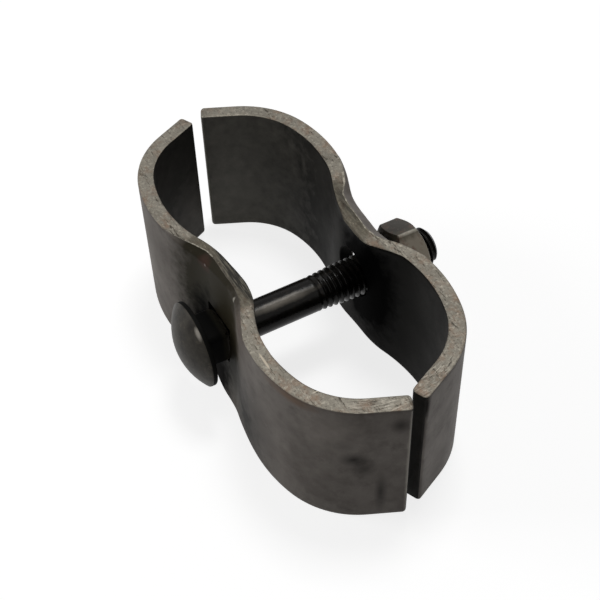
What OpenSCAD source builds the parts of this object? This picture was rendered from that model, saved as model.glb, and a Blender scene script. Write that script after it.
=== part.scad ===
// Panel clamp: two pressed strap halves drawn together on two tubes by one coach bolt and nut.
// The halves stand on their lower edges. X runs along the clamp, Y along the bolt, Z up.
// Each half is one bent strip. Its inner face runs from the waist, over the crown of a saddle
// and round the shoulder into a straight leg, as arcs that meet tangentially.
// The clamp lies loose: one half has slid along the other and turned a little against it.

/* [Strap] */
// Width of the strip, which is the height of the clamp
strap_height = 38; // [25:1:60]
// Thickness of the strip
strap_thickness = 4; // [2.5:0.5:6]
// Distance between the inner faces at the waist
waist_opening = 32.6; // [26:0.2:44]
// Distance between the facing leg tips of the two halves
tip_gap = 1.5; // [1.5:0.5:8]

/* [Saddle] */
// Length of the flat seat at the waist
waist_flat = 7.2; // [4:0.2:14]
// Radius of the inner face where the waist turns out to the saddle
waist_radius = 24.5; // [16:0.5:36]
// Angle through which the waist turns
waist_turn = 21; // [15:1:26]
// Radius of the inner face over the crown
crown_radius = 35; // [28:0.5:42]
// Angle through which the crown turns
crown_turn = 38; // [32:1:42]
// Radius of the inner face round the shoulder
shoulder_radius = 18.5; // [15:0.5:22]
// Angle through which the shoulder turns
shoulder_turn = 48; // [42:1:54]

/* [Pressed top edge at the waist] */
// How deep the stretched inner corner is drawn below the edge
inner_draw = 1.4; // [0.5:0.1:4]
// How far the drawn corner reaches into the thickness
inner_draw_width = 1; // [0.5:0.1:2]
// How deep the press tool has pushed down the outer corner
outer_press = 2.0; // [0.5:0.1:4]
// How far the pressed corner reaches into the thickness
outer_press_width = 2.3; // [0.5:0.1:2.5]
// Length of the pressed edge along the strap
press_length = 24; // [10:1:26]

/* [Bolt] */
// Nominal diameter, over the crests of the thread
bolt_diameter = 10; // [8:0.5:11]
// Diameter of the plain shank, which is rolled stock
shank_diameter = 8.8; // [6.5:0.1:10.5]
// Length under the head
bolt_length = 64; // [60:1:80]
// Length of the threaded end
thread_length = 34; // [25:1:45]
// Chamfer on the tip of the thread
tip_chamfer = 1; // [0.3:0.1:1.5]
// Diameter of the cup head
head_diameter = 21.2; // [16:0.2:26]
// Height of the cup head
head_height = 5.1; // [3:0.1:8]
// Height of the plain rim below the dome
head_rim = 1.2; // [0.4:0.1:1.8]
// Width of the square neck across its flats
neck_width = 10; // [9:0.1:11]
// Length of the square neck
neck_length = 6.5; // [4:0.1:9]
// How far the neck has gone into its hole in the loose clamp
neck_entry = 0.4; // [0.2:0.1:3]

/* [Holes] */
// Clearance round the neck in the front half
neck_clearance = 0.5; // [0.4:0.05:0.7]
// Radial clearance round the bolt in the back half
hole_clearance = 1.5; // [1.4:0.1:2]
// Edge break round the mouths of the round hole
hole_break = 0.4; // [0.2:0.1:0.8]

/* [How the loose clamp lies] */
// How far the front half has slid along the back one
half_slide = 1; // [0:0.1:1.1]
// Angle between the two halves, seen from above
half_turn = 1; // [0:0.1:1.3]
// How far the bolt lies off the middle of the square hole, along the clamp
bolt_shift = 0.3; // [0:0.05:0.35]
// Gap left below the neck where it has sunk in the square hole
bolt_rest = 0.1; // [0.05:0.05:0.2]

/* [Nut] */
// Width across the flats
nut_width = 16; // [15:0.5:24]
// Thickness
nut_thickness = 7; // [5:0.5:12]
// Angle of the chamfer on both faces
nut_chamfer_angle = 30; // [15:1:35]
// Diameter of the flat that the chamfer leaves, as a part of the width
nut_face_ratio = 0.93; // [0.85:0.01:1]
// Radial clearance of the nut over the thread crests
nut_clearance = 0.1; // [0.05:0.05:0.3]
// Depth of the countersink at each mouth of the nut
nut_countersink = 0.7; // [0.2:0.1:1.2]
// Distance from the back half to the nut, which has not been run down yet
nut_standoff = 6.3; // [0.5:0.1:9]
// Angle that the nut has been left at, from one corner straight up
nut_roll = 8; // [-30:1:30]

/* [Hidden] */

steel_strap = [0.42, 0.40, 0.37];
steel_bolt = [0.24, 0.24, 0.23];
steel_nut = [0.35, 0.33, 0.29];

// Enough to run a cutting tool clear of a face
over = 1;

// Degrees between neighbouring points of a bend's outline
bend_step = 2;

// Headings of the strip where one stretch passes into the next, and along the leg
crown_start = waist_turn;
shoulder_start = waist_turn - crown_turn;
leg_heading = shoulder_start - shoulder_turn;

// Centres of the bends in the right half. Each bend starts on the line through its own centre and
// the centre of the bend before it, so that the two meet tangentially.
waist_centre = [waist_flat / 2, waist_opening / 2 + waist_radius];
crown_centre = waist_centre - (waist_radius + crown_radius) * outward(crown_start);
shoulder_centre = crown_centre + (crown_radius - shoulder_radius) * outward(shoulder_start);

// The leg runs straight on from the shoulder, down to its half of the gap between the tips
leg_start = shoulder_centre + shoulder_radius * outward(leg_heading);
leg_length = (leg_start[1] - tip_gap / 2) / -sin(leg_heading);
leg_tip = leg_start + leg_length * along(leg_heading);

// Outer face of the waist, where the head and the nut will bear
waist_face = waist_opening / 2 + strap_thickness;

// The neck has just entered the front half and has sunk to the lower side of its hole. The bolt
// lies off the middle of that hole, which the turn of the front half has carried along with it.
head_seat = -waist_face - neck_length + neck_entry;
bolt_height = strap_height / 2 - neck_clearance + bolt_rest;
bolt_x = half_slide / 2 + waist_face * sin(half_turn / 2) + bolt_shift;
bolt_tip = head_seat + bolt_length;
nut_seat = waist_face + nut_standoff;

// The origin is below the middle of the whole clamp, on the plane that it stands on. Its ends are
// the outer corners of the leg tips, which the turn carries to one side.
tip_corner = leg_tip + strap_thickness * outward(leg_heading);
middle_x = tip_corner[1] * sin(half_turn / 2);
middle_y = (bolt_tip + head_seat - head_height) / 2;

// Directions along the strip at a heading, and out through its thickness
function along(heading) = [cos(heading), sin(heading)];
function outward(heading) = [-sin(heading), cos(heading)];

// Points of a bend between two headings, without the first. A negative radius bends the other way.
function bend(centre, radius, from_heading, to_heading) =
    let (steps = ceil(abs(to_heading - from_heading) / bend_step))
    [
        for (step = [1:steps])
            centre + radius * outward(from_heading + (to_heading - from_heading) * step / steps)
    ];

// Right half of one face of the strip, from the waist to the leg's tip. depth is how far the face
// lies from the inner one.
function face(depth) = concat(
    [[waist_flat / 2, waist_opening / 2 + depth]],
    bend(waist_centre, depth - waist_radius, 0, crown_start),
    bend(crown_centre, crown_radius + depth, crown_start, shoulder_start),
    bend(shoulder_centre, shoulder_radius + depth, shoulder_start, leg_heading),
    [leg_tip + depth * outward(leg_heading)]
);

// The same points on the left half, and in the opposite order
function flipped(points) = [for (point = points) [-point[0], point[1]]];
function reversed(points) = [for (i = [len(points) - 1:-1:0]) points[i]];

// Plan of the whole strip, on the +Y side
module strip_plan() {
    inner = face(0);
    outer = face(strap_thickness);
    polygon(concat(inner, reversed(outer), flipped(outer), reversed(flipped(inner))));
}

// Round cutter that takes one corner off the top edge at the waist. It cuts from its mark on the
// face, depth below the edge, up to its width into the thickness, and fades out along the strip.
// side is 1 for a corner that faces the bolt's middle and -1 for one that faces away from it.
module corner_press(face, side, depth, width) {
    slope = atan2(depth, width);
    sag = depth * cos(slope);
    tool_radius = (pow(press_length / 2, 2) + pow(sag, 2)) / (2 * sag);
    tool_length = 4 * strap_thickness;
    translate([0, face, strap_height - depth])
        rotate([side * slope, 0, 0])
            translate([0, 0, tool_radius])
                rotate([90, 0, 0])
                    cylinder(r = tool_radius, h = tool_length, center = true, $fn = 180);
}

// Both corners of the top edge, as the bend has drawn them in and the tool has pushed them down
module edge_presses() {
    corner_press(waist_opening / 2, 1, inner_draw, inner_draw_width);
    corner_press(waist_face, -1, outer_press, outer_press_width);
}

// One strap half without its hole, on the +Y side
module strap_blank() {
    difference() {
        linear_extrude(strap_height)
            strip_plan();
        edge_presses();
    }
}

// Puts a half where it lies: slid by half of the slide and turned by half of the turn.
// side is 1 for the front half and -1 for the back one.
module lay(side) {
    translate([side * half_slide / 2 - middle_x, -middle_y, 0])
        rotate(side * half_turn / 2)
            children();
}

// Front half, on the head's side, with the square hole that keeps the bolt from turning
module front_strap() {
    hole_width = neck_width + 2 * neck_clearance;
    color(steel_strap)
        lay(1)
            difference() {
                mirror([0, 1, 0])
                    strap_blank();
                translate([-hole_width / 2, -waist_face - over, (strap_height - hole_width) / 2])
                    cube([hole_width, strap_thickness + 2 * over, hole_width]);
            }
}

// Back half, on the nut's side, with a round hole broken at both mouths
module back_strap() {
    hole_radius = bolt_diameter / 2 + hole_clearance;
    color(steel_strap)
        lay(-1)
            difference() {
                strap_blank();
                translate([0, waist_face + over, strap_height / 2])
                    rotate([90, 0, 0])
                        cylinder(r = hole_radius, h = strap_thickness + 2 * over, $fn = 96);
                for (mouth = [[waist_opening / 2, -90], [waist_face, 90]])
                    translate([0, mouth[0], strap_height / 2])
                        rotate([mouth[1], 0, 0])
                            translate([0, 0, -hole_break])
                                cylinder(
                                    r1 = hole_radius,
                                    r2 = hole_radius + 2 * hole_break,
                                    h = 2 * hole_break,
                                    $fn = 96
                                );
            }
}

// Puts a piece on the bolt's axis, pointing along +Y from y on
module on_axis(y) {
    translate([bolt_x - middle_x, y - middle_y, bolt_height])
        rotate([-90, 0, 0])
            children();
}

// Section of the cup head, revolved about the bolt's axis: a plain rim under a round dome
module head_section() {
    dome_height = head_height - head_rim;
    dome_radius = (pow(head_diameter / 2, 2) + pow(dome_height, 2)) / (2 * dome_height);
    square([head_diameter / 2, head_rim]);
    intersection() {
        translate([0, head_height - dome_radius])
            circle(r = dome_radius, $fn = 180);
        translate([0, head_rim])
            square([head_diameter / 2, dome_height]);
    }
}

// Square neck with its end corners turned down to a cone, as upset under the head
module bolt_neck() {
    corner = neck_width / sqrt(2);
    intersection() {
        translate([-neck_width / 2, -neck_width / 2, 0])
            cube([neck_width, neck_width, neck_length]);
        rotate_extrude($fn = 96)
            polygon([
                [0, 0],
                [corner, 0],
                [corner, neck_length - (corner - neck_width / 2)],
                [neck_width / 2, neck_length],
                [0, neck_length]
            ]);
    }
}

// Coach bolt along +Y: cup head, square neck, plain shank and the stretch that carries the thread
module coach_bolt() {
    thread_start = bolt_length - thread_length;
    run_out = (bolt_diameter - shank_diameter) / 2;
    color(steel_bolt)
        on_axis(head_seat) {
            mirror([0, 0, 1])
                rotate_extrude($fn = 180)
                    head_section();
            bolt_neck();
            rotate_extrude($fn = 96)
                polygon([
                    [0, 0],
                    [shank_diameter / 2, 0],
                    [shank_diameter / 2, thread_start - run_out],
                    [bolt_diameter / 2, thread_start],
                    [bolt_diameter / 2, bolt_length - tip_chamfer],
                    [bolt_diameter / 2 - tip_chamfer, bolt_length],
                    [0, bolt_length]
                ]);
        }
}

// Hexagon nut with a corner near the top, chamfered on both faces and countersunk at both mouths
module hex_nut() {
    corner_radius = nut_width / sqrt(3);
    face_radius = nut_width * nut_face_ratio / 2;
    chamfer_drop = (corner_radius - face_radius) * tan(nut_chamfer_angle);
    bore_radius = bolt_diameter / 2 + nut_clearance;
    color(steel_nut)
        on_axis(nut_seat)
            difference() {
                intersection() {
                    rotate(90 + nut_roll)
                        cylinder(r = corner_radius, h = nut_thickness, $fn = 6);
                    rotate_extrude($fn = 96)
                        polygon([
                            [0, 0],
                            [face_radius, 0],
                            [corner_radius, chamfer_drop],
                            [corner_radius, nut_thickness - chamfer_drop],
                            [face_radius, nut_thickness],
                            [0, nut_thickness]
                        ]);
                }
                translate([0, 0, -over])
                    cylinder(r = bore_radius, h = nut_thickness + 2 * over, $fn = 96);
                for (mouth = [0, 1])
                    translate([0, 0, mouth * nut_thickness])
                        mirror([0, 0, mouth])
                            translate([0, 0, -nut_countersink])
                                cylinder(
                                    r1 = bore_radius + 2 * nut_countersink,
                                    r2 = bore_radius,
                                    h = 2 * nut_countersink,
                                    $fn = 96
                                );
            }
}

front_strap();
back_strap();
coach_bolt();
hex_nut();
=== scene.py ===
from math import cos, exp, hypot, pi, radians, sin, sqrt, tan

import bmesh
import bpy
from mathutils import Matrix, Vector, noise


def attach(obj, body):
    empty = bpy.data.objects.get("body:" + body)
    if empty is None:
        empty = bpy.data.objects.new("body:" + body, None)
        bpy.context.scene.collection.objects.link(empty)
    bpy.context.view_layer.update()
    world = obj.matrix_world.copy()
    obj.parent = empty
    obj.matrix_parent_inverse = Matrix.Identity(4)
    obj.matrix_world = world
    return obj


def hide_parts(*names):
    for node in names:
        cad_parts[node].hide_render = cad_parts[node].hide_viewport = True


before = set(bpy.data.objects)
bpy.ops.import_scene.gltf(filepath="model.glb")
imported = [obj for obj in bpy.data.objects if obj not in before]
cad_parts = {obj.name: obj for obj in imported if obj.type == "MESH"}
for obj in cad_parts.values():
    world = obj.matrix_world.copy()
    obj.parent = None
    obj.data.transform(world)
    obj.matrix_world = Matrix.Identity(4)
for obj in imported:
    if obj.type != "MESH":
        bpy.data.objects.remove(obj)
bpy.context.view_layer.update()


# STRAP HALVES
# Each half is a strip of hot rolled mild steel, 38 by 4 mm, sheared to length and cold pressed
# into two saddles with a waist between them. The press has drawn in and pushed down the strip's
# corners at the waist. The steel is left bare, with the mill's dark skin on its faces.

mm = 0.001
strip_height = 38
strip_thickness = 4
corner_radius, tip_radius = 0.35, 0.95
waist_opening = 32.6
waist_flat = 7.2
tip_gap = 1.5
waist_radius, waist_turn = 24.5, 21
crown_radius, crown_turn = 35, 38
shoulder_radius, shoulder_turn = 18.5, 48
half_slide = 1
half_turn = 1
middle_y = 3.05

mid_height = strip_height / 2
waist_face = waist_opening / 2 + strip_thickness
waist_middle = waist_face - strip_thickness / 2
shoulder_start = waist_turn - crown_turn
leg_heading = shoulder_start - shoulder_turn


def outward(heading, length):
    """Step out through the strip's thickness, where it runs at a heading in degrees."""
    return -sin(radians(heading)) * length, cos(radians(heading)) * length


def from_point(point, step):
    return point[0] + step[0], point[1] + step[1]


waist_centre = (waist_flat / 2, waist_opening / 2 + waist_radius)
crown_centre = from_point(waist_centre, outward(waist_turn, -waist_radius - crown_radius))
shoulder_centre = from_point(crown_centre, outward(shoulder_start, crown_radius - shoulder_radius))
leg_start = from_point(shoulder_centre, outward(leg_heading, shoulder_radius))
leg_length = (leg_start[1] - tip_gap / 2) / -sin(radians(leg_heading))
leg_tip = from_point(leg_start, outward(leg_heading - 90, leg_length))
middle_x = (leg_tip[1] + outward(leg_heading, strip_thickness)[1]) * sin(radians(half_turn / 2))


def edit(piece):
    """Opens one piece alone in edit mode, with nothing on it selected."""
    bpy.ops.object.select_all(action="DESELECT")
    bpy.context.view_layer.objects.active = piece
    piece.select_set(True)
    bpy.ops.object.mode_set(mode="EDIT")
    bpy.ops.mesh.select_all(action="DESELECT")


def select_faces(piece, test):
    """Selects the faces of the piece in edit mode whose middle and normal pass the test."""
    bpy.ops.mesh.select_mode(type="FACE")
    net = bmesh.from_edit_mesh(piece.data)
    for face in net.faces:
        face.select_set(test(face.calc_center_median() / mm, face.normal))
    bmesh.update_edit_mesh(piece.data)


def done(piece):
    """Puts a piece's place in its mesh, merges doubles and turns all its faces outward."""
    bpy.ops.object.mode_set(mode="OBJECT")
    bpy.ops.object.transform_apply(location=True, rotation=True, scale=True)
    edit(piece)
    bpy.ops.mesh.select_all(action="SELECT")
    bpy.ops.mesh.remove_doubles(threshold=0.002 * mm)
    bpy.ops.mesh.normals_make_consistent(inside=False)
    bpy.ops.object.mode_set(mode="OBJECT")


def apply_modifier(piece, kind, **settings):
    bpy.context.view_layer.objects.active = piece
    modifier = piece.modifiers.new(kind, kind)
    for name, value in settings.items():
        setattr(modifier, name, value)
    bpy.ops.object.modifier_apply(modifier=modifier.name)


def cut(piece, tool, operation="DIFFERENCE"):
    """Cuts a tool out of a piece, or joins or keeps what they share, and removes the tool."""
    apply_modifier(piece, "BOOLEAN", operation=operation, solver="EXACT", object=tool)
    bpy.data.objects.remove(tool)


def round_tip(strip):
    """Rounds the four edges of the strip's sheared end, its upright ones more than the others."""
    forth, out = outward(leg_heading - 90, 1), outward(leg_heading, 1)
    for vertex in strip.data.vertices:
        x, y, z = vertex.co / mm
        x, y = x - leg_tip[0], y - leg_tip[1]
        past_start = tip_radius + x * forth[0] + y * forth[1]
        if past_start <= 0:
            continue
        side = x * out[0] + y * out[1] - strip_thickness / 2
        inset = tip_radius - sqrt(max(0, tip_radius ** 2 - past_start ** 2))
        across = -side * inset / (strip_thickness / 2)
        vertex.co.x += across * out[0] * mm
        vertex.co.y += across * out[1] * mm
        vertex.co.z -= (z - mid_height) * 0.5 * inset / mid_height * mm


def press_strip(name):
    """Runs the strip from the middle of the waist to a tip, mirrors it and rounds its corners."""
    bpy.ops.object.select_all(action="DESELECT")
    bpy.ops.mesh.primitive_grid_add(
        x_subdivisions=76,
        y_subdivisions=20,
        size=1,
        location=(0, waist_middle * mm, mid_height * mm),
        rotation=(0, pi / 2, 0),
    )
    strip = bpy.context.object
    strip.name = strip.data.name = name
    strip.scale = (strip_height * mm, strip_thickness * mm, 1)
    bpy.ops.object.transform_apply(location=True, rotation=True, scale=True)
    for vertex in strip.data.vertices:
        _, y, z = vertex.co / mm
        y -= waist_opening / 2
        in_y = corner_radius - min(y, strip_thickness - y)
        in_z = corner_radius - min(z, strip_height - z)
        if in_y > 0 and in_z > 0 and hypot(in_y, in_z) > corner_radius:
            spare = 1 - corner_radius / hypot(in_y, in_z)
            vertex.co.y += (in_y if y < strip_thickness / 2 else -in_y) * spare * mm
            vertex.co.z += (in_z if z < mid_height else -in_z) * spare * mm
    edit(strip)
    bpy.ops.mesh.select_all(action="SELECT")
    flat_steps = 7
    for _ in range(flat_steps):
        bpy.ops.mesh.extrude_region_move(
            TRANSFORM_OT_translate={"value": (waist_flat / 2 / flat_steps * mm, 0, 0)}
        )
    for centre, angle, steps in (
        (waist_centre, -waist_turn, 18),
        (crown_centre, crown_turn, 26),
        (shoulder_centre, shoulder_turn, 24),
    ):
        bpy.ops.mesh.spin(
            steps=steps,
            angle=radians(angle),
            center=(centre[0] * mm, centre[1] * mm, 0),
            axis=(0, 0, 1),
        )
    straight = leg_length - tip_radius
    for length in [straight / 6] * 6 + [0.3, 0.25, 0.2, 0.12, 0.06, 0.02]:
        step = outward(leg_heading - 90, length * mm)
        bpy.ops.mesh.extrude_region_move(TRANSFORM_OT_translate={"value": (*step, 0)})
    select_faces(strip, lambda middle, normal: abs(middle.x) < 0.001)
    bpy.ops.mesh.delete(type="FACE")
    bpy.ops.object.mode_set(mode="OBJECT")
    round_tip(strip)
    apply_modifier(strip, "MIRROR", use_axis=(True, False, False), merge_threshold=0.01 * mm)
    edit(strip)
    done(strip)
    return strip


def depth_at(x, y):
    """How far a point near the waist lies from the strip's inner face."""
    beyond = max(abs(x) - waist_flat / 2, 0)
    if beyond < (waist_centre[1] - y) * tan(radians(waist_turn)):
        return waist_radius - hypot(beyond, y - waist_centre[1])
    return hypot(abs(x) - crown_centre[0], y - crown_centre[1]) - crown_radius


def along(marks, x):
    """Height at x of the line through the listed marks."""
    for (x0, v0), (x1, v1) in zip(marks, marks[1:]):
        if x0 <= x <= x1:
            return v0 + (v1 - v0) * (x - x0) / (x1 - x0)
    return marks[0][1] if x < marks[0][0] else marks[-1][1]


# How the press has shaped the top edge of the waist. The ridge is given by its depth from the
# strip's inner face.
ridge_line, no_ridge = 2.4, 3.9
press_reach = 7
bulge_width = 0.75
ridge_rise, ridge_half_width = 0.16, 0.3
top_lean, bottom_lean = 1.1, 1.7


def press_waist(strip, ridge, bulge, fold, lean):
    """Pushes down the outer corner of the top edge at the waist, so that the inner one bulges.
    The line of the mesh at ridge_line is drawn onto the ridge between the two. The whole waist
    leans inward at its top and outward at its bottom."""
    for vertex in strip.data.vertices:
        x, y, z = vertex.co / mm
        if abs(x) > 26:
            continue
        depth = depth_at(x, y)
        down = strip_height - z
        wander = noise.noise(Vector((x * 0.45, depth * 0.3, 1.7)))
        lip = min(along(ridge, x) + 0.12 * noise.noise(Vector((x * 0.45, 0, 1.7))), no_ridge)
        slope = strip_thickness - lip
        if down < 0.5 and abs(x) < 20:
            moved = depth * lip / ridge_line
            if depth > ridge_line:
                share = (strip_thickness - depth) / (strip_thickness - ridge_line)
                moved = strip_thickness - share * slope
            vertex.co.y += (moved - depth) * mm
            depth = moved
        swell = along(bulge, x)
        across, drop = 0, 0
        if down < press_reach and lip < no_ridge:
            # Outside the ridge the edge slopes down. At the inner corner it swells out in folds.
            fade = (1 - down / press_reach) ** 2
            drop += 2.1 / 2.6 * max(0, depth - lip) * fade
            inner = max(0, 1 - depth / bulge_width)
            across += swell * inner ** 0.8 * fade
            folds = fold * sin(8.5 * inner * (1 + 0.3 * wander) + 2 * wander)
            drop += (1.1 * inner ** 1.6 + folds * inner) * swell * fade
            on_ridge = max(0, 1 - abs(depth - lip) / ridge_half_width)
            drop -= ridge_rise * on_ridge * fade * min(1, slope)
        inward = lean * top_lean * exp(-(((x - 6) / 12) ** 2))
        outward_below = lean * bottom_lean * exp(-(((x - 4) / 9) ** 2))
        across += (inward + outward_below) * z / strip_height - outward_below
        vertex.co.y -= across * mm
        vertex.co.z -= drop * mm


def srgb(code):
    """Linear colour of an sRGB hex value."""
    parts = [int(code[i:i + 2], 16) / 255 for i in (1, 3, 5)]
    return [p / 12.92 if p < 0.04045 else ((p + 0.055) / 1.055) ** 2.4 for p in parts] + [1]


def add_node(material, kind, links=(), **settings):
    """Adds a node with its settings. links maps an input to an output, other inputs to values."""
    node = material.node_tree.nodes.new("ShaderNode" + kind)
    for name, value in settings.items():
        setattr(node, name, value)
    for name, source in dict(links).items():
        if isinstance(source, bpy.types.NodeSocket):
            material.node_tree.links.new(source, node.inputs[name])
        else:
            node.inputs[name].default_value = source
    return node


def new_material(name):
    material = bpy.data.materials.new(name)
    material.use_nodes = True
    material.node_tree.nodes.clear()
    return material


def blend(material, factor, first, second):
    """Mixes two colours, each a socket or a hex value, by a factor socket."""
    inputs = {0: factor}
    for index, colour in ((6, first), (7, second)):
        inputs[index] = srgb(colour) if isinstance(colour, str) else colour
    return add_node(material, "Mix", inputs, data_type="RGBA").outputs[2]


def ramp(material, value, low, high):
    """Rises from 0 at one value to 1 at another."""
    return add_node(
        material, "MapRange", {"Value": value, "From Min": low, "From Max": high}
    ).outputs["Result"]


def cloud(material, place, size, detail=3, roughness=0.5):
    """Noise whose features are about so many millimetres wide."""
    return add_node(
        material,
        "TexNoise",
        {"Vector": place, "Scale": 1 / (size * mm), "Detail": detail, "Roughness": roughness},
    ).outputs["Fac"]


def finish_steel(steel, colour, height, depth, roughness, metallic, sheen=0.5):
    """Joins a colour and a height in millimetres to the shader."""
    bump = add_node(steel, "Bump", {"Height": height, "Strength": 1, "Distance": depth * mm})
    values = {
        "Base Color": colour,
        "Metallic": metallic,
        "Roughness": roughness,
        "Specular IOR Level": sheen,
        "Normal": bump.outputs["Normal"],
    }
    shader = add_node(steel, "BsdfPrincipled", values)
    add_node(steel, "OutputMaterial", {"Surface": shader.outputs["BSDF"]})
    return steel


def oval(material, place, centre, sizes, soft, strength):
    """Ragged oval patch: its strength in the middle, 0 beyond its half sizes."""
    inside = add_node(
        material,
        "Mapping",
        {
            "Vector": place,
            "Location": [value * mm for value in centre],
            "Scale": [size * mm for size in sizes],
        },
        vector_type="TEXTURE",
    ).outputs["Vector"]
    away = add_node(material, "VectorMath", {0: inside}, operation="LENGTH").outputs["Value"]
    ragged = cloud(material, place, 3, 3, 0.6)
    away = add_node(
        material, "Math", {0: ragged, 1: -0.6, 2: away}, operation="MULTIPLY_ADD"
    ).outputs[0]
    return add_node(
        material,
        "MapRange",
        {"Value": away, "From Min": 0.7, "From Max": 0.7 - soft, "To Max": strength},
    ).outputs["Result"]


def lay_stains_and_painted_light(material, place, colour, marks):
    """Lays ovals over a colour, stains in some places and painted light and shade in others:
    middle, half sizes, softness, hex value, strength.
    """
    for centre, sizes, soft, tint, strength in marks:
        covered = oval(material, place, centre, sizes, soft, strength)
        colour = blend(material, covered, colour, tint)
    return colour


def mill_skin(name, dark, pale, marks):
    """Oxide skin of hot rolled steel: dull brownish grey, with clouds, and marks laid over it
    that are stains in some places and painted light and shade in others. Its sheen follows its
    brightness, so darker marks also shine less.
    """
    steel = new_material(name)
    place = add_node(steel, "TexCoord").outputs["Object"]
    clouds = cloud(steel, place, 12, 5, 0.6)
    colour = blend(steel, ramp(steel, clouds, 0.35, 0.65), dark, pale)
    specks = ramp(steel, cloud(steel, place, 1.2, 4, 0.7), 0.62, 0.75)
    colour = blend(steel, specks, colour, pale)
    blots = ramp(steel, cloud(steel, place, 4, 4, 0.65), 0.5, 0.75)
    colour = blend(steel, blots, colour, dark)
    colour = lay_stains_and_painted_light(steel, place, colour, marks)
    grain = cloud(steel, place, 0.5, 3)
    light = add_node(steel, "RGBToBW", {"Color": colour}).outputs[0]
    sheen = add_node(steel, "Math", {0: light, 1: 3}, operation="MULTIPLY").outputs[0]
    return finish_steel(steel, colour, grain, 0.015, 0.6, 0, sheen)


def score_shoulder(steel, place, colour, way):
    """Lays bright and dark scores along the strip, round the centre of the right shoulder."""
    centre = (-shoulder_centre[0] * mm, (middle_y - way * shoulder_centre[1]) * mm, 0)
    round_shoulder = add_node(
        steel, "Mapping", {"Vector": place, "Location": centre, "Scale": (1, 1, 0)}
    ).outputs["Vector"]
    radius = add_node(steel, "VectorMath", {0: round_shoulder}, operation="LENGTH")
    across = add_node(steel, "CombineXYZ", {"X": radius.outputs["Value"]}).outputs["Vector"]
    slow = add_node(steel, "Mapping", {"Vector": place, "Scale": (0.12, 0.12, 0)})
    across = add_node(
        steel, "VectorMath", {0: across, 1: slow.outputs["Vector"]}, operation="ADD"
    ).outputs["Vector"]
    scores = cloud(steel, across, 0.4, 4, 0.7)
    scored = oval(steel, place, (50.5, way * 9 - middle_y, strip_height), (7, 10, 7), 0.5, 1)
    for low, high, tint in ((0.54, 0.68, "#a8a296"), (0.44, 0.34, "#332e28")):
        amount = add_node(
            steel, "Math", {0: ramp(steel, scores, low, high), 1: scored}, operation="MULTIPLY"
        ).outputs[0]
        colour = blend(steel, amount, colour, tint)
    return colour


def between(steel, place, start, end):
    """1 between two places along X and 0 outside them, with a ragged border 3 mm wide."""
    x = add_node(steel, "SeparateXYZ", {"Vector": place}).outputs["X"]
    middle, half_length = (start + end) / 2, (end - start) / 2
    away = add_node(steel, "Math", {0: x, 1: middle * mm}, operation="SUBTRACT").outputs[0]
    away = add_node(steel, "Math", {0: away}, operation="ABSOLUTE").outputs[0]
    ragged = cloud(steel, place, 2.5, 4, 0.7)
    away = add_node(
        steel, "Math", {0: ragged, 1: 8 * mm, 2: away}, operation="MULTIPLY_ADD"
    ).outputs[0]
    return ramp(steel, away, (half_length + 5.5) * mm, (half_length + 2.5) * mm)


def bare_edge(name, pressed_span, torn, way, marks):
    """Sheared edge of torn bare steel: warm grey, with dark pits, rusty tints and bright grains.
    Over a span along X the press has rubbed it smooth, olive brown and streaked. In the
    torn oval the bend has stretched the inner corner into dark stripes."""
    steel = new_material(name)
    place = add_node(steel, "TexCoord").outputs["Object"]
    long = add_node(steel, "Mapping", {"Vector": place, "Scale": (0.2, 1, 1)}).outputs["Vector"]
    grain = cloud(steel, place, 0.9, 5, 0.75)

    clouds = cloud(steel, place, 6, 4, 0.6)
    sheared = blend(steel, ramp(steel, clouds, 0.35, 0.65), "#6f6a60", "#837e73")
    rusty = ramp(steel, cloud(steel, place, 4, 5, 0.7), 0.49, 0.66)
    sheared = blend(steel, rusty, sheared, "#776657")
    cracks = ramp(steel, cloud(steel, long, 0.8, 4, 0.7), 0.43, 0.35)
    sheared = blend(steel, cracks, sheared, "#3a342b")
    sheared = blend(steel, ramp(steel, grain, 0.52, 0.72), sheared, "#a39d90")
    pits = ramp(steel, cloud(steel, place, 0.45, 3, 0.75), 0.42, 0.3)
    sheared = blend(steel, pits, sheared, "#3d3830")
    sheared = score_shoulder(steel, place, sheared, way)

    streaks = cloud(steel, long, 0.5, 4, 0.6)
    rubbed = blend(steel, ramp(steel, streaks, 0.35, 0.65), "#484339", "#656054")
    blots = ramp(steel, cloud(steel, place, 1.8, 4, 0.7), 0.48, 0.66)
    rubbed = blend(steel, blots, rubbed, "#40362b")
    rubbed = blend(steel, ramp(steel, grain, 0.58, 0.75), rubbed, "#98917f")

    colour = blend(steel, between(steel, place, *pressed_span), sheared, rubbed)
    longest = add_node(steel, "Mapping", {"Vector": place, "Scale": (0.08, 1, 1)})
    stripes = cloud(steel, longest.outputs["Vector"], 0.45, 3, 0.6)
    stretched = blend(steel, ramp(steel, stripes, 0.5, 0.62), "#23211c", "#5d594e")
    colour = blend(steel, oval(steel, place, *torn), colour, stretched)
    colour = lay_stains_and_painted_light(steel, place, colour, marks)
    return finish_steel(steel, colour, grain, 0.07, 0.5, 0.6, 0.3)


def rubbed_lip():
    """Thin lip that the press has left bare and bright."""
    steel = new_material("lip rubbed bright")
    place = add_node(steel, "TexCoord").outputs["Object"]
    breaks = cloud(steel, place, 1.2, 3, 0.7)
    colour = blend(steel, ramp(steel, breaks, 0.42, 0.58), "#6d685c", "#a8a294")
    return finish_steel(steel, colour, breaks, 0.05, 0.4, 0.6, 0.3)


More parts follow.
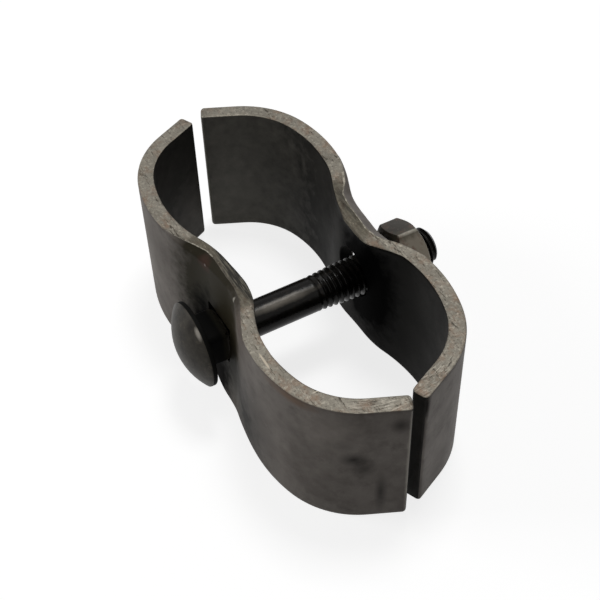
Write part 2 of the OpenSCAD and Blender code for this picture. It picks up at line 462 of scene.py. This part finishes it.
def turned_tool(radius, length, end_radius, end_length):
    """Round tool along Z about the origin, with a cone at each end."""
    bpy.ops.object.select_all(action="DESELECT")
    bpy.ops.mesh.primitive_cylinder_add(vertices=96, radius=radius * mm, depth=length * mm)
    tool = bpy.context.object
    for side in (-1, 1):
        edit(tool)
        select_faces(tool, lambda middle, normal: normal.z * side > 0.9)
        bpy.ops.mesh.extrude_region_move(
            TRANSFORM_OT_translate={"value": (0, 0, side * end_length * mm)}
        )
        bpy.ops.transform.resize(
            value=(end_radius / radius, end_radius / radius, 1), center_override=(0, 0, 0)
        )
        bpy.ops.object.mode_set(mode="OBJECT")
    edit(tool)
    done(tool)
    return tool


def share_out_faces(half, lip_from, lip_to):
    """Gives each face of a half its finish, in the order in which finish_half adds them. The
    walls of the hole and the sheared ends of the tips take the inner skin, a darker copy of the
    outer skin that paints the shade inside the clamp."""
    skin, bare, lip, shaded_inner_skin = range(4)
    tip_x, tip_y = outward(leg_heading - 90, 1)
    saddle_x, saddle_y = 26, 2
    waist_reach, hole_reach = 12, 9
    for face in half.data.polygons:
        x, y, z = face.center / mm
        normal = face.normal
        right = 1 if x > 0 else -1
        at_tip = y < leg_tip[1] + 4 and normal.x * right * tip_x + normal.y * tip_y > 0.7
        if abs(x) > waist_reach:
            inside = normal.x * (x - saddle_x * right) + normal.y * (y - saddle_y) < 0
        else:
            inside = normal.y < 0.3
        if abs(normal.z) > 0.45 and abs(z - mid_height) > hole_reach:
            face.material_index = bare
        else:
            face.material_index = shaded_inner_skin if inside or at_tip else skin
        if normal.z > 0.45 and abs(x) < 20 and z > strip_height - 1:
            depth = depth_at(x, y)
            if depth > ridge_line:
                face.material_index = skin
            elif depth > ridge_line - 0.4 and lip_from < x < lip_to:
                face.material_index = lip


def finish_half(
    half, side, node, ridge, bulge, fold, lean, torn, pressed_span, lip_span, outside_marks,
    edge_marks, inside_painted_light_and_shade
):
    """Gives a half its finishes, presses its waist and lays it in its place. The side is 1 for
    the front half and -1 for the back half."""
    name = half.name.replace("_", " ")
    for material in (
        mill_skin("mill skin outside the " + name, "#544d47", "#6f6861", outside_marks),
        bare_edge("bare edges of the " + name, pressed_span, torn, -side, edge_marks),
        rubbed_lip(),
        # The skin inside the clamp is the same mill skin, painted darker as painted shade.
        mill_skin("dark mill skin inside the " + name, "#22211f", "#2f2d2a", inside_painted_light_and_shade),
    ):
        half.data.materials.append(material)
    share_out_faces(half, *lip_span)
    press_waist(half, ridge, bulge, fold, lean)
    half.scale.y = -side
    half.rotation_euler.z = radians(side * half_turn / 2)
    half.location = ((side * half_slide / 2 - middle_x) * mm, -middle_y * mm, 0)
    edit(half)
    done(half)
    bpy.ops.object.shade_smooth_by_angle(angle=radians(30))
    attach(half, "root")
    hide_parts(node)


# The front half has the square hole that keeps the bolt from turning. The marks of a ridge or a
# bulge are places along X, and how deep the ridge lies in the top edge or how far the inner
# corner stands out there. Stains, scratches and patches of painted light and shade are ovals in
# the finished clamp: their middle, half sizes, softness, colour and strength.
square_hole = 11
front_half = press_strip("front_half")
bpy.ops.mesh.primitive_cube_add(
    size=square_hole * mm, location=(0, waist_middle * mm, mid_height * mm)
)
cut(front_half, bpy.context.object)
finish_half(
    front_half,
    side=1,
    node="front_strap",
    ridge=[
        (-20, 3.9), (-16, 3.4), (-12.5, 2.9), (-7.5, 2.2), (-4, 2.4), (0, 2.8), (5, 3.1),
        (9, 2.9), (12, 2.9), (17, 3.4), (20, 3.9),
    ],
    bulge=[(-20, 0), (-10, 0), (-4, 0.1), (1, 0.3), (8, 0.4), (12, 0.5), (20, 0)],
    fold=0.09,
    lean=1,
    torn=((2, -18.9, 38), (12.5, 2.3, 4), 0.35, 1),
    pressed_span=(-13, 12),
    lip_span=(-13, -5.5),
    outside_marks=[
        # Black smudges and a worn corner at the right tip.
        ((49, -15.7, 21.8), (3.2, 3.8, 2.9), 0.9, "#191614", 0.9),
        ((50, -13.8, 18.5), (3, 3.2, 4), 1, "#1f1b19", 0.7),
        ((47.8, -17.5, 26.3), (2.6, 2.8, 2.6), 1, "#24201e", 0.6),
        ((53.2, -7.2, 33), (2, 2.6, 2.8), 0.9, "#24201e", 0.8),
        ((51.6, -10.4, 9), (1.8, 1.6, 8), 0.9, "#221f1d", 0.85),
        ((53.9, -4.9, 19), (1, 1, 26), 0.4, "#8b8578", 0.7),
        # Broad fields of the saddles: a darker field on the left saddle, painted light on the
        # right flank, brown bands under the top edge, darker over the lower right flank, and
        # painted shade beside the bolt's head and neck.
        ((-30, -26, 28), (14, 12, 18), 1.2, "#5a534b", 0.7),
        ((46, -19, 31), (10, 9, 11), 1.2, "#8a8178", 0.6),
        ((19, -23, 37), (9, 6, 3.5), 0.9, "#4a3a2e", 0.8),
        ((38.5, -24.5, 36.8), (11, 5, 1.8), 0.8, "#6a5340", 0.9),
        ((18, -27, 8), (17, 9, 25), 0.9, "#262422", 1),
        ((8, -24, 18), (9, 9, 26), 0.7, "#2f2b20", 0.95),
        # Painted shade over the waist, blackest under the bolt as the painted shadow of the head
        # and neck, there partly oil.
        ((-3, -22, 26), (18, 10, 28), 0.4, "#2f2b20", 1),
        ((-5, -22, 12), (12, 9, 19), 0.5, "#080706", 1),
        ((0, -22, 2), (9, 9, 18), 0.5, "#060504", 1),
        # Rusty bruise with a painted highlight in it, and a nick at the top.
        ((-5.5, -20, 36), (3.2, 6, 2.4), 0.9, "#54302a", 0.8),
        ((-5, -20, 36.1), (0.5, 6, 0.5), 0.6, "#a0938b", 0.7),
        ((8.6, -23, 37), (0.5, 6, 0.7), 0.6, "#a09a8c", 0.9),
    ],
    edge_marks=[
        ((28, -25.2, 38), (2.6, 0.3, 3), 0.4, "#b5aa98", 0.8),
        ((40.5, -17.5, 38), (0.3, 4, 3), 0.4, "#c0b8a8", 0.8),
    ],
    inside_painted_light_and_shade=[
        # Painted light over the painted shade inside, paler towards the left tip and its lower
        # part.
        ((-40, -8, 15), (24, 18, 32), 0.8, "#3c3a36", 0.9),
        ((-46, -4, 6), (14, 14, 20), 1.2, "#6a645c", 0.9),
    ],
)

# The back half has a round hole, chamfered at both mouths.
hole_radius, mouth_radius, mouth_length = 6.5, 7.3, 0.8
back_half = press_strip("back_half")
drill = turned_tool(hole_radius, strip_thickness - mouth_length, mouth_radius, mouth_length)
drill.rotation_euler.x = -pi / 2
drill.location = (0, waist_middle * mm, mid_height * mm)
cut(back_half, drill)
finish_half(
    back_half,
    side=-1,
    node="back_strap",
    ridge=[
        (-20, 3.9), (-14.4, 3.4), (-10.6, 3), (-7.6, 1.6), (-3, 1.15), (3, 0.95), (9, 0.8),
        (13, 2.4), (20, 3.9),
    ],
    bulge=[(-16, 0), (-9, 0.4), (-5, 0.9), (-1, 1.7), (8, 1.6), (12, 0.9), (17, 0)],
    fold=0.03,
    lean=0.4,
    torn=((-3, 14.4, 38), (9, 1.9, 4), 0.5, 0.6),
    pressed_span=(-13, 7),
    lip_span=(-14, 10),
    outside_marks=[
        # Painted shade along the right tip, where it faces the narrow gap between the halves.
        ((53.1, -1.4, 34.5), (1.4, 1.8, 5.5), 0.6, "#141110", 0.95),
        ((53.1, -1.7, 26), (1.2, 1.2, 6), 0.7, "#1a1614", 0.9),
    ],
    edge_marks=[],
    inside_painted_light_and_shade=[
        # Painted light over the painted shade inside, paler towards the left end and its lower
        # part.
        ((-40, 8, 18), (28, 20, 34), 1, "#3c3a36", 0.9),
        ((-56, 4, 14), (34, 26, 56), 1.3, "#8f8b80", 1),
        # Painted shadow beside the hole and the bolt, blackest near the hole.
        ((13, 14, 20), (17, 9, 25), 0.9, "#141413", 0.9),
        ((5, 14, 21), (13, 9, 23), 0.4, "#060606", 1),
    ],
)


# COACH BOLT
# Cold forged steel with a black oxide finish: a cup head, a square neck under it, a plain shank
# and a rolled M10 thread. The neck has only just entered the front half's hole.

bolt_length = 64
shank_radius = 4.4
thread_start, pitch = 30, 1.5
crest_radius, root_radius = 4.97, 4.08
crest_run_out, root_run_out = 6 * pitch, 1.5 * pitch
tip_chamfer = 1
head_radius, head_rim, head_height = 10.6, 1.2, 5.1
neck_width, neck_length, neck_rounding = 10, 6.5, 1.6
head_seat = -26.4
shift_in_hole, sag_in_hole = 0.3, 0.4
hole_x = half_slide / 2 + waist_face * sin(radians(half_turn / 2)) - middle_x
bolt_place = (
    (hole_x + shift_in_hole) * mm,
    (head_seat - middle_y) * mm,
    (mid_height - sag_in_hole) * mm,
)

# A single point is drawn along the thread's section, turn by turn, and screwed round the axis.
bpy.ops.object.select_all(action="DESELECT")
bpy.ops.mesh.primitive_plane_add(size=mm)
bolt = bpy.context.object
bolt.name = bolt.data.name = "bolt"
edit(bolt)
bpy.ops.mesh.select_mode(type="VERT")
bpy.ops.mesh.select_all(action="SELECT")
bpy.ops.mesh.merge(type="CENTER")
bpy.ops.transform.translate(value=(root_radius * mm, 0, -2 * pitch * mm))
thread_depth = crest_radius - root_radius
for _ in range(int(bolt_length / pitch) + 4):
    for out, up in ((thread_depth, 0.4), (0, 0.13), (-thread_depth, 0.4), (0, 0.07)):
        bpy.ops.mesh.extrude_region_move(
            TRANSFORM_OT_translate={"value": (out * mm, 0, up * pitch * mm)}
        )
bpy.ops.object.mode_set(mode="OBJECT")
apply_modifier(
    bolt, "SCREW", steps=64, render_steps=64, angle=2 * pi, screw_offset=pitch * mm,
    use_merge_vertices=False,
)
edit(bolt)
bpy.ops.mesh.select_all(action="SELECT")
bpy.ops.mesh.remove_doubles(threshold=0.01 * mm)
bpy.ops.object.mode_set(mode="OBJECT")

# The thread runs out into the plain shank, its crests more slowly than its roots, and the tip
# is chamfered. Both ends are then cut off flat, the lower one inside the neck.
for vertex in bolt.data.vertices:
    x, y, z = vertex.co / mm
    radius = hypot(x, y)
    run_out = root_run_out if radius < shank_radius else crest_run_out
    full = min(1, max(0, (z - thread_start) / run_out))
    wanted = shank_radius + (radius - shank_radius) * full
    wanted = min(wanted, max(1, crest_radius - tip_chamfer + bolt_length - z))
    vertex.co.x *= wanted / radius
    vertex.co.y *= wanted / radius
for end, way in ((0.1, -1), (bolt_length, 1)):
    edit(bolt)
    bpy.ops.mesh.select_all(action="SELECT")
    bpy.ops.mesh.bisect(
        plane_co=(0, 0, end * mm),
        plane_no=(0, 0, way),
        use_fill=True,
        clear_outer=True,
        threshold=0.0001 * mm,
    )
    bpy.ops.object.mode_set(mode="OBJECT")
edit(bolt)
done(bolt)

# The head is pressed up from a disc in rings that follow its dome, and its rim is rounded.
bpy.ops.mesh.primitive_cylinder_add(
    vertices=96, radius=head_radius * mm, depth=head_rim * mm, location=(0, 0, -head_rim / 2 * mm)
)
head = bpy.context.object
edit(head)
select_faces(head, lambda middle, normal: normal.z < -0.9)
dome = head_height - head_rim
dome_radius = (head_radius ** 2 + dome ** 2) / (2 * dome)
ring, height = head_radius, 0
for level in (0.1, 0.45, 0.95, 1.5, 2.05, 2.6, 3.1, 3.45, 3.7, 3.86):
    smaller = sqrt(dome_radius ** 2 - (dome_radius - dome + level) ** 2)
    bpy.ops.mesh.extrude_region_move(
        TRANSFORM_OT_translate={"value": (0, 0, (height - level) * mm)}
    )
    bpy.ops.transform.resize(
        value=(smaller / ring, smaller / ring, 1), center_override=(0, 0, 0)
    )
    ring, height = smaller, level
done(head)
apply_modifier(
    head, "BEVEL", width=0.45 * mm, segments=5, limit_method="ANGLE", angle_limit=radians(30)
)

# The square neck starts a little inside the head, with its edges and end rounded.
in_head = 0.2
bpy.ops.mesh.primitive_cube_add(size=1, location=(0, 0, (neck_length - in_head) / 2 * mm))
neck = bpy.context.object
neck.scale = (neck_width * mm, neck_width * mm, (neck_length + in_head) * mm)
bpy.ops.object.transform_apply(location=True, rotation=True, scale=True)
apply_modifier(neck, "BEVEL", width=neck_rounding * mm, segments=6)
cut(head, neck, "UNION")
cut(bolt, head, "UNION")


def black_oxide(name, dark, pale, brown, roughness, marks):
    """Black oxide on steel: satin and a little oily, with brown rubbed places, and marks laid over
    it that paint highlights and shade.
    """
    steel = new_material(name)
    place = add_node(steel, "TexCoord").outputs["Object"]
    clouds = cloud(steel, place, 4, 4, 0.6)
    colour = blend(steel, ramp(steel, clouds, 0.35, 0.7), dark, pale)
    spots = cloud(steel, place, 1.6, 4, 0.7)
    colour = blend(steel, ramp(steel, spots, 0.55, 0.72), colour, brown)
    colour = lay_stains_and_painted_light(steel, place, colour, marks)
    return finish_steel(steel, colour, spots, 0.06, roughness, 0.1, 0.12)


def neck_in_painted_shade():
    """Neck between the head and its hole in painted shade: black under the head, paling to olive
    brown where it meets the flank.
    """
    steel = new_material("oily black oxide on the neck")
    place = add_node(steel, "TexCoord").outputs["Object"]
    along_bolt = add_node(steel, "SeparateXYZ", {"Vector": place}).outputs["Y"]
    flank = (head_seat + neck_length - middle_y) * mm
    # Painted light: the painted shade pales to olive brown over the last 2.4 mm before the flank.
    rubbed = ramp(steel, along_bolt, flank - 2.4 * mm, flank)
    colour = blend(steel, rubbed, "#040403", "#4a463c")
    grain = cloud(steel, place, 1.5, 3)
    return finish_steel(steel, colour, grain, 0.03, 0.7, 0.3, 0.1)


bolt.data.materials.clear()
for material in (
    black_oxide(
        "black oxide on the shank and thread", "#0c0b0a", "#1a1815", "#2b251f", 0.25,
        # A pale streak along the upper side of the shank is a painted highlight.
        [((2.8, -8.5, 22.6), (1.4, 12, 1), 0.9, "#8a847a", 0.9)],
    ),
    # The head's black oxide is paler than the shank's. Its marks are a painted shade on top of the
    # dome and a painted highlight on its upper right shoulder.
    black_oxide(
        "rubbed black oxide on the head", "#2b2824", "#4c4841", "#554f46", 0.45,
        [
            ((3.4, -31.4, 27.5), (2.2, 1.6, 4.5), 0.8, "#1c1916", 0.8),
            ((5.9, -30.9, 27.8), (2, 0.6, 3), 0.6, "#b0aaa0", 0.9),
        ],
    ),
    neck_in_painted_shade(),
):
    bolt.data.materials.append(material)
on_shank, on_head, on_neck = range(3)
for face in bolt.data.polygons:
    x, y, z = face.center / mm
    square = max(abs(x), abs(y)) > shank_radius + 0.2 or z > neck_length - 0.6
    if square and -0.7 * head_rim < z < neck_length and face.normal.z > -0.2:
        face.material_index = on_neck
    else:
        face.material_index = on_head if z < 0 else on_shank
bolt.rotation_euler.x = -pi / 2
bolt.location = bolt_place
edit(bolt)
done(bolt)
bpy.ops.object.shade_smooth_by_angle(angle=radians(30))
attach(bolt, "root")
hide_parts("coach_bolt")


# NUT
# M10 hexagon nut, hot forged and left plain, chamfered on both faces and countersunk at both
# mouths of its thread. It has been spun on by hand and stands off the back half.

nut_width, nut_thickness, nut_roll = 16, 7, 8
bore_radius, bore_mouth, countersink = 5.1, 6.5, 1.4
corner = nut_width / sqrt(3)
flat_radius = 0.93 * nut_width / 2
chamfer = (corner - flat_radius) * tan(radians(30))
nut_seat = waist_face + 6.3
nut_middle = (0, 0, nut_thickness / 2 * mm)

bpy.ops.object.select_all(action="DESELECT")
bpy.ops.mesh.primitive_cylinder_add(
    vertices=6,
    radius=corner * mm,
    depth=nut_thickness * mm,
    location=nut_middle,
    rotation=(0, 0, radians(nut_roll)),
)
nut = bpy.context.object
nut.name = nut.data.name = "nut"
bpy.ops.object.transform_apply(location=True, rotation=True, scale=True)
chamfered = turned_tool(corner, nut_thickness - 2 * chamfer, flat_radius, chamfer)
chamfered.location = nut_middle
cut(nut, chamfered, "INTERSECT")
tap = turned_tool(bore_radius, nut_thickness - countersink, bore_mouth, countersink)
tap.location = nut_middle
cut(nut, tap)
apply_modifier(
    nut, "BEVEL", width=0.25 * mm, segments=3, limit_method="ANGLE", angle_limit=radians(25)
)


def plain_nut_steel():
    """Plain forged steel: dull olive brown grey, with rusty and paler rubbed places, and painted
    light and shade on its facets.
    """
    steel = new_material("plain forged steel")
    place = add_node(steel, "TexCoord").outputs["Object"]
    clouds = cloud(steel, place, 3, 5, 0.6)
    colour = blend(steel, ramp(steel, clouds, 0.35, 0.65), "#393529", "#524e44")
    top = bolt_place[2] / mm
    # Painted shade on the upper left facet, painted light on the right facet, and a painted
    # highlight along the ridge between them.
    painted_facet_light_and_shade = [
        ((-3.2, 27, top + 7.5), (5.4, 9, 4.5), 0.4, "#2a251e", 0.9),
        ((6.4, 27, top + 6), (4.8, 9, 6), 0.4, "#847c6f", 0.85),
        ((2.3, 27, top + 9.3), (0.7, 9, 1), 0.9, "#c8c2b4", 0.9),
    ]
    colour = lay_stains_and_painted_light(steel, place, colour, painted_facet_light_and_shade)
    rust = ramp(steel, cloud(steel, place, 2.2, 4, 0.6), 0.52, 0.8)
    colour = blend(steel, rust, colour, "#5f473b")
    pale = ramp(steel, cloud(steel, place, 0.7, 4, 0.7), 0.6, 0.8)
    colour = blend(steel, pale, colour, "#8a857b")
    return finish_steel(steel, colour, clouds, 0.06, 0.5, 0.3, 0.2)


nut.data.materials.append(plain_nut_steel())
nut.rotation_euler.x = -pi / 2
nut.location = (bolt_place[0], (nut_seat - middle_y) * mm, bolt_place[2])
edit(nut)
done(nut)
bpy.ops.object.shade_smooth_by_angle(angle=radians(30))
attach(nut, "root")
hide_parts("hex_nut")


# STAGE
# White paper floor and white surroundings, a soft key lamp at the picture's left and a soft
# lamp overhead. The camera's place and lens are fitted to the photograph.

bpy.ops.mesh.primitive_plane_add(size=4, location=(0, 0, 0))
floor = bpy.context.object
floor.name = floor.data.name = "floor"


def seen_plainly(owner):
    """1 for a ray from the camera, or one that metal or glass has sent on."""
    path = add_node(owner, "LightPath")
    seen = path.outputs["Is Camera Ray"]
    for other in ("Is Glossy Ray", "Is Transmission Ray"):
        seen = add_node(
            owner, "Math", {0: seen, 1: path.outputs[other]}, operation="MAXIMUM"
        ).outputs[0]
    return seen


# The floor is white to the camera and in reflections, and still takes the object's shadow.
paper = new_material("white paper")
matt = add_node(paper, "BsdfDiffuse", {"Color": srgb("#b0b0b0")})
lit = add_node(paper, "Emission", {"Color": (1, 1, 1, 1), "Strength": 0.8})
both = add_node(paper, "AddShader", {0: matt.outputs["BSDF"], 1: lit.outputs["Emission"]})
mixed = add_node(
    paper,
    "MixShader",
    {"Fac": seen_plainly(paper), 1: matt.outputs["BSDF"], 2: both.outputs["Shader"]},
)
add_node(paper, "OutputMaterial", {"Surface": mixed.outputs["Shader"]})
floor.data.materials.append(paper)

world = bpy.data.worlds.new("white surroundings")
bpy.context.scene.world = world
world.use_nodes = True
world.node_tree.nodes.clear()
strength = add_node(world, "MapRange", {"Value": seen_plainly(world), "To Min": 0.12, "To Max": 1})
sky = add_node(world, "Background", {"Color": (1, 1, 1, 1), "Strength": strength.outputs[0]})
add_node(world, "OutputWorld", {"Surface": sky.outputs["Background"]})

for name, place, size, power in (
    ("overhead lamp", (-0.17, 0.2, 0.9), 0.25, 2.5),
    ("key lamp", (-0.55, -0.75, 0.45), 0.4, 2.5),
):
    bpy.ops.object.light_add(type="AREA", location=place)
    lamp = bpy.context.object
    lamp.name = name
    lamp.data.size = size
    lamp.data.energy = power
    lamp.rotation_euler = (-lamp.location).to_track_quat("-Z", "Y").to_euler()

bpy.ops.object.camera_add(
    location=(0.171682, -0.090988, 0.230235),
    rotation=(radians(42.2323), radians(1.395), radians(60.9798)),
)
camera = bpy.context.object
camera.data.sensor_width = 36
camera.data.lens = 71.3718
camera.data.clip_start = 0.01
bpy.context.scene.camera = camera
bpy.context.scene.view_settings.view_transform = "Standard"
